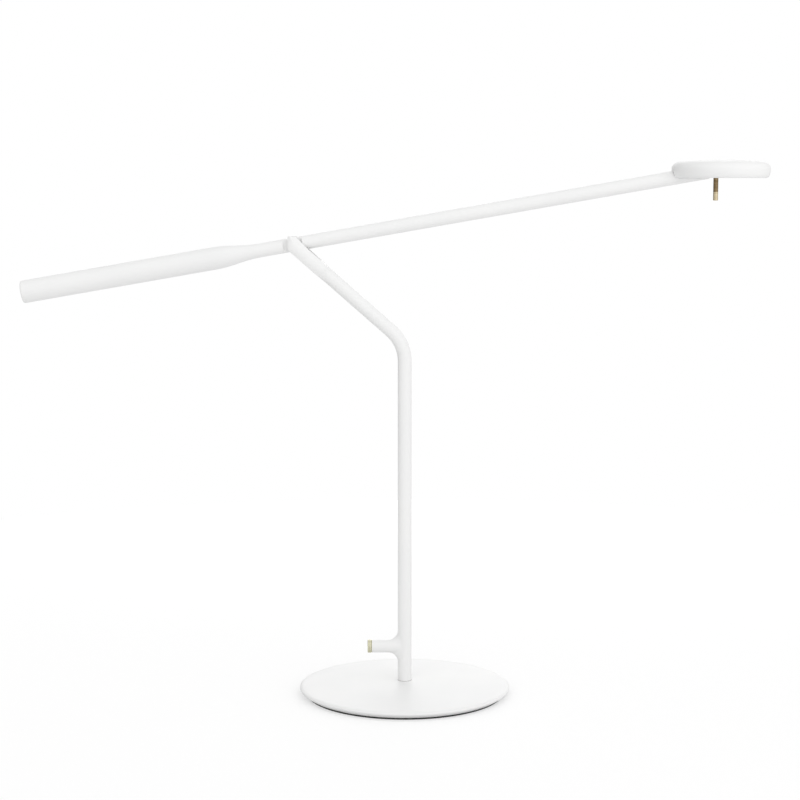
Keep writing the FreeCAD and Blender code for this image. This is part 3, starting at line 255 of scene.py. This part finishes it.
@dataclass(frozen=True)
class Finish:
    """What every finish has: a name, a colour and how it shines."""

    name: str
    colour: Colour
    roughness: float
    metallic: float = 0.0
    ior: float = 1.5

    def material(self) -> bpy.types.Material:
        """Find the finish's material, or build it the first time.

        Returns:
            The material.
        """
        if self.name in bpy.data.materials:
            known = bpy.data.materials[self.name]
            if known.get("dressed"):
                return known
            known.name = self.name + "_plain"
        made = bpy.data.materials.new(self.name)
        made["dressed"] = True
        made.use_nodes = True
        made.diffuse_color = (*self.colour, 1.0)
        made.node_tree.nodes.clear()
        wiring = Wiring(made.node_tree)
        shader = wiring.add("ShaderNodeBsdfPrincipled")
        shader.inputs["Base Color"].default_value = (*self.colour, 1.0)
        shader.inputs["Roughness"].default_value = self.roughness
        shader.inputs["Metallic"].default_value = self.metallic
        shader.inputs["IOR"].default_value = self.ior
        place = wiring.add("ShaderNodeTexCoord").outputs["Object"]
        self.dress(wiring, shader, place)
        wiring.add("ShaderNodeOutputMaterial", {"Surface": shader.outputs[0]})
        return made

    def dress(self, wiring: Wiring, shader: bpy.types.Node, place: bpy.types.NodeSocket) -> None:
        """Add the finish's own detail.

        Args:
            wiring: The material's wiring.
            shader: Its Principled shader.
            place: Object coordinates, in metres.
        """
        raise NotImplementedError

    def vary_colour(self, wiring: Wiring, shader: bpy.types.Node, factor: bpy.types.NodeSocket,
                    other: Colour) -> None:
        """Blend the colour towards another one where a factor is high.

        Args:
            wiring: The material's wiring.
            shader: Its Principled shader.
            factor: What steers the blend.
            other: The second colour.
        """
        share = wiring.spread(factor, BLEND_FROM, BLEND_FULL, 0.0, 1.0)
        mix = wiring.add("ShaderNodeMix", data_type="RGBA")
        sockets = [s for s in mix.inputs if s.type == "RGBA"]
        sockets[0].default_value = (*self.colour, 1.0)
        sockets[1].default_value = (*other, 1.0)
        wiring.tree.links.new(share, mix.inputs["Factor"])
        result = next(s for s in mix.outputs if s.type == "RGBA")
        wiring.tree.links.new(result, shader.inputs["Base Color"])

    def bump(self, wiring: Wiring, shader: bpy.types.Node, height: bpy.types.NodeSocket,
             depth: float) -> None:
        """Raise the surface by a height.

        Args:
            wiring: The material's wiring.
            shader: Its Principled shader.
            height: The height, from 0 to about 1.
            depth: How far that is, in metres.
        """
        node = wiring.add("ShaderNodeBump", {"Height": height, "Distance": depth, "Strength": 1.0})
        wiring.tree.links.new(node.outputs[0], shader.inputs["Normal"])


@dataclass(frozen=True)
class SatinCoat(Finish):
    """A sprayed and baked satin coat."""

    shade: Colour = (0.78, 0.78, 0.77)
    peel_depth: float = 0.012 * MM
    smear_gloss: float = 0.05

    def dress(self, wiring: Wiring, shader: bpy.types.Node, place: bpy.types.NodeSocket) -> None:
        """Orange peel in the surface, a slow drift of tone and a slightly uneven gloss."""
        peel = place_effect(wiring, OrangePeel(), place)
        handling = place_effect(wiring, Handling(), place, Amount=0.8)
        self.vary_colour(wiring, shader, peel.outputs["Tone"], self.shade)
        rough = self.roughness + self.smear_gloss
        gloss = wiring.spread(handling.outputs["Smear"], 0.0, 1.0, self.roughness, rough)
        wiring.tree.links.new(gloss, shader.inputs["Roughness"])
        self.bump(wiring, shader, peel.outputs["Height"], self.peel_depth)


@dataclass(frozen=True)
class TurnedMetal(Finish):
    """Metal with the marks of the lathe or of brushing."""

    shade: Colour = (0.5, 0.5, 0.5)
    axis: Axis = Axis.UPRIGHT
    mark_depth: float = 0.004 * MM
    smear_gloss: float = 0.1

    def dress(self, wiring: Wiring, shader: bpy.types.Node, place: bpy.types.NodeSocket) -> None:
        """Fine marks square to the piece's axis, in height, gloss and tone."""
        turned = wiring.add("ShaderNodeMapping", {"Vector": place, "Rotation": self.axis.value})
        marks = place_effect(wiring, TurningMarks(), turned.outputs[0])
        handling = place_effect(wiring, Handling(), place, Size=110.0)
        self.vary_colour(wiring, shader, marks.outputs["Tone"], self.shade)
        rough = self.roughness + self.smear_gloss
        gloss = wiring.spread(handling.outputs["Smear"], 0.0, 1.0, self.roughness, rough)
        wiring.tree.links.new(gloss, shader.inputs["Roughness"])
        self.bump(wiring, shader, marks.outputs["Height"], self.mark_depth)


@dataclass(frozen=True)
class Moulding(Finish):
    """Rubber, fibre, plastic or board with a fine even grain."""

    shade: Colour = (0.05, 0.05, 0.05)
    grain: float = 1500.0
    grain_depth: float = 0.03 * MM
    smear_gloss: float = 0.08

    def dress(self, wiring: Wiring, shader: bpy.types.Node, place: bpy.types.NodeSocket) -> None:
        """Even grain in the surface and in the tone, and a slightly uneven gloss."""
        peel = place_effect(wiring, OrangePeel(), place, Wave=self.grain, Grain=self.grain * 3.0)
        handling = place_effect(wiring, Handling(), place, Size=60.0)
        self.vary_colour(wiring, shader, peel.outputs["Height"], self.shade)
        rough = self.roughness + self.smear_gloss
        gloss = wiring.spread(handling.outputs["Smear"], 0.0, 1.0, self.roughness, rough)
        wiring.tree.links.new(gloss, shader.inputs["Roughness"])
        self.bump(wiring, shader, peel.outputs["Height"], self.grain_depth)


class Palette:
    """The lamp's finishes by the name of the slot that each takes in the record."""

    WHITE_STEEL = SatinCoat("white_coated_steel", (0.83, 0.83, 0.825), 0.46, shade=(0.81, 0.812, 0.81))
    WHITE_ALUMINIUM = SatinCoat("white_coated_aluminium", (0.83, 0.83, 0.825), 0.46,
                                shade=(0.81, 0.812, 0.81))
    ALUMINIUM = TurnedMetal("bare_aluminium", (0.78, 0.785, 0.79), 0.34, 1.0, shade=(0.66, 0.665, 0.67))
    ZINC = TurnedMetal("zinc_steel", (0.62, 0.63, 0.64), 0.3, 1.0, shade=(0.5, 0.51, 0.52),
                       axis=Axis.ACROSS)
    RUBBER = Moulding("black_rubber", (0.018, 0.018, 0.019), 0.62, shade=(0.03, 0.03, 0.03))
    PLASTIC = Moulding("black_plastic", (0.022, 0.022, 0.024), 0.42, shade=(0.03, 0.03, 0.032), grain=900.0)
    FIBRE = Moulding("grey_fibre", (0.2, 0.19, 0.18), 0.8, shade=(0.28, 0.27, 0.25), grain=1200.0)
    BOARD = Moulding("white_board", (0.8, 0.8, 0.78), 0.5, shade=(0.76, 0.76, 0.74), grain=700.0,
                     grain_depth=0.01 * MM)
    PHOSPHOR = Moulding("led_phosphor", (0.85, 0.72, 0.22), 0.45, shade=(0.8, 0.62, 0.15), grain=2000.0)
    OPAL = Moulding("opal_acrylic", (0.86, 0.86, 0.85), 0.32, shade=(0.84, 0.84, 0.835), grain=300.0,
                    grain_depth=0.004 * MM)
    BRONZE = TurnedMetal("bronze", (0.62, 0.42, 0.22), 0.32, 1.0, shade=(0.5, 0.33, 0.17),
                         axis=Axis.ACROSS)
    BRASS = TurnedMetal("yellow_brass", (0.62, 0.53, 0.36), 0.34, 0.8, shade=(0.52, 0.43, 0.28))
    BRASS_LEVEL = TurnedMetal("yellow_brass_level", (0.76, 0.74, 0.58), 0.24, 1.0,
                              shade=(0.56, 0.54, 0.38), axis=Axis.LEVEL)
    DARK_BRONZE = TurnedMetal("dark_bronze", (0.27, 0.195, 0.105), 0.34, 1.0, shade=(0.17, 0.12, 0.062))


# ---------------------------------------------------------------- small turned parts
@dataclass(frozen=True)
class TurnedRing:
    """A thin ring with broken edges that closes a seam between two round pieces, or, made in dark fibre, is
    painted shade for the shadow line of such a seam.
    """

    name: str
    centre: Point
    axis: Point
    inner: float
    outer: float
    thickness: float
    edge: float = 0.03 * MM
    sides: int = 128

    def build(self) -> bpy.types.Object:
        """Turn the ring's outline round its axis.

        Returns:
            The ring, in place.
        """
        half = self.thickness / 2
        outline = ((self.inner, -half), (self.outer - self.edge, -half), (self.outer, self.edge - half),
                   (self.outer, half - self.edge), (self.outer - self.edge, half), (self.inner, half))
        shape = bmesh.new()
        rows = []
        for step in range(self.sides):
            turn = Matrix.Rotation(math.tau * step / self.sides, 3, "Z")
            rows.append([shape.verts.new(turn @ Vector((radius, 0.0, height))) for radius, height in outline])
        for row, after in zip(rows, rows[1:] + rows[:1]):
            for here in range(len(outline)):
                there = (here + 1) % len(outline)
                shape.faces.new((row[here], after[here], after[there], row[there]))
        bmesh.ops.recalc_face_normals(shape, faces=shape.faces)
        lie = Vector(self.axis).to_track_quat("Z", "Y").to_matrix().to_4x4()
        shape.transform(Matrix.Translation(self.centre) @ lie)
        mesh = bpy.data.meshes.new(self.name)
        shape.to_mesh(mesh)
        shape.free()
        mesh.shade_smooth()
        mesh.set_sharp_from_angle(angle=RING_CREASE)
        piece = bpy.data.objects.new(self.name, mesh)
        bpy.context.scene.collection.objects.link(piece)
        return piece


# ---------------------------------------------------------------- sub-assemblies
@dataclass
class SubAssembly:
    """A group of pieces that are dressed together."""

    finishes: dict[str, Finish] = field(default_factory=dict)

    def dress(self) -> None:
        """Give each CAD piece of the sub-assembly its finish."""
        for name, finish in self.finishes.items():
            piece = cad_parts[name]
            piece.data.materials.clear()
            piece.data.materials.append(finish.material())
            LOG.info("%s: %s dressed in %s", type(self).__name__, name, finish.name)

    def build(self) -> None:
        """Build the small parts that only show here; plain sub-assemblies have none."""

    def fit(self, ring: TurnedRing, finish: Finish, slot: str, body: str) -> None:
        """Build a ring, finish it and let it ride on a body.

        Args:
            ring: The ring to build.
            finish: Its finish.
            slot: The record's material slot that the finish belongs to; not used.
            body: The body that carries it.
        """
        piece = ring.build()
        piece.data.materials.append(finish.material())
        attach(piece, body)
        LOG.info("%s: %s fitted to %s", type(self).__name__, ring.name, body)


@dataclass
class Base(SubAssembly):
    """The heavy foot with its rubber pad, cable inlet and the post's fixing."""

    finishes: dict[str, Finish] = field(default_factory=lambda: {
        "base_plate": Palette.WHITE_STEEL,
        "foot_pad": Palette.RUBBER,
        "inlet_bush": Palette.RUBBER,
        "post_spigot": Palette.ZINC,
        "post_washer": Palette.ZINC,
        "post_nut": Palette.ZINC,
    })
    # A thin dark grey fibre ring at the post's foot: painted shade that stands in for the shadow line where
    # the post meets the base.
    painted_shadow_ring: TurnedRing = TurnedRing("post_painted_shadow_ring", centre=(0.0, 0.0, 12.42 * MM), axis=(0.0, 0.0, 1.0),
                                  inner=6.3 * MM, outer=6.57 * MM, thickness=0.24 * MM)

    def build(self) -> None:
        """Lay the thin dark ring where the post stands on the base: painted shade for the shadow line at the
        post's foot.
        """
        self.fit(self.painted_shadow_ring, Palette.FIBRE, "grey_fibre", "stand")


@dataclass
class Post(SubAssembly):
    """The bent tube with its blended stub, and the fork with its pivot screw."""

    finishes: dict[str, Finish] = field(default_factory=lambda: {
        "post_tube": Palette.WHITE_STEEL,
        "fork_head": Palette.WHITE_STEEL,
        "pivot_pin": Palette.ZINC,
        "pivot_spring_washer": Palette.ZINC,
        "pivot_friction_washers": Palette.FIBRE,
    })


@dataclass
class Dimmer(SubAssembly):
    """The dimmer in the stub and its brass knob."""

    finishes: dict[str, Finish] = field(default_factory=lambda: {
        "dimmer_body": Palette.PLASTIC,
        "dimmer_nut": Palette.BRASS_LEVEL,
        "dimmer_shaft": Palette.ZINC,
        "dimmer_knob": Palette.BRASS_LEVEL,
    })
    shim: TurnedRing = TurnedRing("knob_shim", centre=(-31.35 * MM, 0.0, 45.1 * MM), axis=(-1.0, 0.0, 0.0),
                                  inner=3.4 * MM, outer=6.05 * MM, thickness=0.24 * MM)

    def build(self) -> None:
        """Put the thin brass shim between the stub's end and the knob."""
        self.fit(self.shim, Palette.BRASS_LEVEL, "yellow_brass", "stand")


@dataclass
class Arm(SubAssembly):
    """The balanced arm: hub, tube and counterweight, with the bearings that it carries."""

    finishes: dict[str, Finish] = field(default_factory=lambda: {
        "arm_hub": Palette.WHITE_STEEL,
        "arm_tube": Palette.WHITE_STEEL,
        "counterweight": Palette.WHITE_STEEL,
        "pivot_bush": Palette.BRONZE,
        "swivel_bush": Palette.FIBRE,
    })


@dataclass
class Swivel(SubAssembly):
    """The turning end of the arm."""

    finishes: dict[str, Finish] = field(default_factory=lambda: {
        "swivel_eye": Palette.WHITE_STEEL,
        "swivel_spring_washer": Palette.ZINC,
        "swivel_nut": Palette.ZINC,
    })
    pivot: Point = (-104.308 * MM, 0.0, 427.498 * MM)
    seam: float = 370.95 * MM
    shim_inner: float = 4.2 * MM
    shim_outer: float = 6.42 * MM
    shim_thickness: float = 0.24 * MM

    def build(self) -> None:
        """Put the thin white shim into the seam where the arm's end turns."""
        along = Vector((math.cos(ARM_RISE), 0.0, math.sin(ARM_RISE)))
        centre = Vector(self.pivot) + along * self.seam
        shim = TurnedRing("swivel_shim", tuple(centre), tuple(along),
                          self.shim_inner, self.shim_outer, self.shim_thickness)
        self.fit(shim, Palette.WHITE_STEEL, "white_coated_steel", "arm")


@dataclass
class Head(SubAssembly):
    """The round head with its hinge, lights, cover and handle pin."""

    finishes: dict[str, Finish] = field(default_factory=lambda: {
        "head_shell": Palette.WHITE_ALUMINIUM,
        "hinge_bracket": Palette.ALUMINIUM,
        "head_hinge_pin": Palette.ZINC,
        "head_friction_washers": Palette.FIBRE,
        "bracket_screws": Palette.ZINC,
        "plate_screws": Palette.ZINC,
        "heat_plate": Palette.ALUMINIUM,
        "led_board": Palette.BOARD,
        "led_chips": Palette.PHOSPHOR,
        "diffuser": Palette.OPAL,
        "handle_stem": Palette.DARK_BRONZE,
        "handle_tip": Palette.BRASS,
    })


# ---------------------------------------------------------------- studio
@dataclass
class Softbox:
    """A large square light."""

    name: str
    place: Point
    aim: Point
    side: float
    power: float

    def build(self) -> None:
        """Make the light and aim it."""
        lamp = bpy.data.lights.new(self.name, "AREA")
        lamp.shape = "SQUARE"
        lamp.size = self.side
        lamp.energy = self.power
        holder = bpy.data.objects.new(self.name, lamp)
        holder.location = self.place
        direction = Vector(self.aim) - Vector(self.place)
        holder.rotation_euler = direction.to_track_quat("-Z", "Y").to_euler()
        holder.visible_camera = False
        bpy.context.scene.collection.objects.link(holder)
        LOG.info("studio: %s at %.1f W", self.name, self.power)


@dataclass
class Studio:
    """Pale floor, soft light all round and the camera at the photograph's angle."""

    camera_place: Point = (-0.00446, -1.7795, 0.4892)
    camera_drop: float = 6.65
    lens: float = 85.7
    floor_radius: float = 1.1
    floor_gap: float = 0.1 * MM
    floor_sides: int = 96
    floor_bounce: float = 0.83
    floor_shade: float = 0.5
    floor_lift: float = 0.49
    room: float = 0.903
    room_slope: Point = (0.12, -0.33, 0.09)
    backdrop: float = 1.0
    backdrop_way: Point = (0.06, 0.933, 0.355)
    backdrop_edge: float = 0.9
    dark_side: float = -0.62
    dark_side_way: Point = (-0.78, 0.36, -0.51)
    dark_side_edge: float = 0.45
    lens_shade: float = -0.7
    lens_shade_way: Point = (0.016, -0.97, 0.242)
    lens_shade_edge: float = 0.982
    softboxes: list[Softbox] = field(default_factory=lambda: [
        Softbox("key_softbox", (1.3, -1.6, 0.5), (0.2, 0.0, 0.42), 0.9, 1.8),
        Softbox("back_softbox", (0.1, 1.1, 0.36), (0.0, 0.0, 0.0), 0.9, 1.0),
    ])

    def build(self) -> None:
        """Set up floor, light and camera."""
        bpy.context.scene.view_settings.view_transform = "Standard"
        self.make_floor()
        self.make_sky()
        for softbox in self.softboxes:
            softbox.build()
        self.make_camera()

    def make_floor(self) -> None:
        """Lay a wide pale disc that the lamp stands on, clear from below so that the underside shows."""
        mesh = bpy.data.meshes.new("floor")
        shape = bmesh.new()
        bmesh.ops.create_circle(shape, cap_ends=True, radius=self.floor_radius, segments=self.floor_sides)
        shape.to_mesh(mesh)
        shape.free()
        floor = bpy.data.objects.new("floor", mesh)
        floor.location.z = -self.floor_gap
        paper = bpy.data.materials.new("floor_paper")
        paper.use_nodes = True
        paper.node_tree.nodes.clear()
        wiring = Wiring(paper.node_tree)
        seen = wiring.add("ShaderNodeLightPath").outputs["Is Camera Ray"]
        tone = wiring.spread(seen, 0.0, 1.0, self.floor_bounce, self.floor_shade)
        shader = wiring.add("ShaderNodeBsdfDiffuse", {"Color": tone})
        lift = wiring.add("ShaderNodeEmission", {"Strength": wiring.math("MULTIPLY", seen, self.floor_lift)})
        both = wiring.add("ShaderNodeAddShader", {0: shader.outputs[0], 1: lift.outputs[0]})
        below = wiring.add("ShaderNodeNewGeometry").outputs["Backfacing"]
        clear = wiring.add("ShaderNodeBsdfTransparent")
        sheet = wiring.add("ShaderNodeMixShader", {0: below, 1: both.outputs[0], 2: clear.outputs[0]})
        wiring.add("ShaderNodeOutputMaterial", {"Surface": sheet.outputs[0]})
        mesh.materials.append(paper)
        bpy.context.scene.collection.objects.link(floor)

    def make_sky(self) -> None:
        """Make a room that is brighter in front and on the right, with a lit backdrop, white to the camera."""
        world = bpy.data.worlds.new("studio")
        bpy.context.scene.world = world
        world.use_nodes = True
        world.node_tree.nodes.clear()
        wiring = Wiring(world.node_tree)
        direction = wiring.add("ShaderNodeTexCoord").outputs["Generated"]
        slope = wiring.add("ShaderNodeVectorMath", {0: direction, 1: self.room_slope}, operation="DOT_PRODUCT")
        room = wiring.math("ADD", slope.outputs["Value"], self.room)
        glow = self.patch(wiring, direction, self.backdrop_way, self.backdrop_edge, self.backdrop)
        dark = self.patch(wiring, direction, self.dark_side_way, self.dark_side_edge, self.dark_side)
        shade = self.patch(wiring, direction, self.lens_shade_way, self.lens_shade_edge, self.lens_shade)
        strength = wiring.math("ADD", wiring.math("ADD", room, glow), wiring.math("ADD", dark, shade))
        lit = wiring.add("ShaderNodeBackground", {"Strength": strength})
        lit.inputs["Color"].default_value = (1.0, 1.0, 1.0, 1.0)
        seen = wiring.add("ShaderNodeBackground", {"Strength": 1.0})
        seen.inputs["Color"].default_value = (1.0, 1.0, 1.0, 1.0)
        to_camera = wiring.add("ShaderNodeLightPath").outputs["Is Camera Ray"]
        mix = wiring.add("ShaderNodeMixShader", {0: to_camera, 1: lit.outputs[0], 2: seen.outputs[0]})
        wiring.add("ShaderNodeOutputWorld", {"Surface": mix.outputs[0]})

    @staticmethod
    def patch(wiring: Wiring, direction: bpy.types.NodeSocket, way: Point, edge: float,
              amount: float) -> bpy.types.NodeSocket:
        """Brighten or darken the room round one direction.

        Args:
            wiring: The world's wiring.
            direction: The direction that is looked in.
            way: Middle of the patch, of length one.
            edge: Cosine of the angle at which the patch ends.
            amount: What is added in its middle.

        Returns:
            What the patch adds in the direction.
        """
        facing = wiring.add("ShaderNodeVectorMath", {0: direction, 1: way}, operation="DOT_PRODUCT")
        return wiring.spread(facing.outputs["Value"], edge, PATCH_FULL, 0.0, amount)

    def make_camera(self) -> None:
        """Put the camera where the photograph was taken from."""
        camera = bpy.data.cameras.new("camera")
        camera.lens = self.lens
        camera.sensor_width = 36.0
        camera.clip_end = 200.0
        holder = bpy.data.objects.new("camera", camera)
        holder.location = self.camera_place
        holder.rotation_euler = (math.radians(90.0 - self.camera_drop), 0.0, 0.0)
        bpy.context.scene.collection.objects.link(holder)
        bpy.context.scene.camera = holder


def main() -> None:
    """Dress and build the whole lamp in its studio."""
    logging.basicConfig(level=logging.INFO, format="%(message)s")
    Studio().build()
    for part in (Base(), Post(), Dimmer(), Arm(), Swivel(), Head()):
        part.dress()
        part.build()


if __name__ == "__main__":
    main()
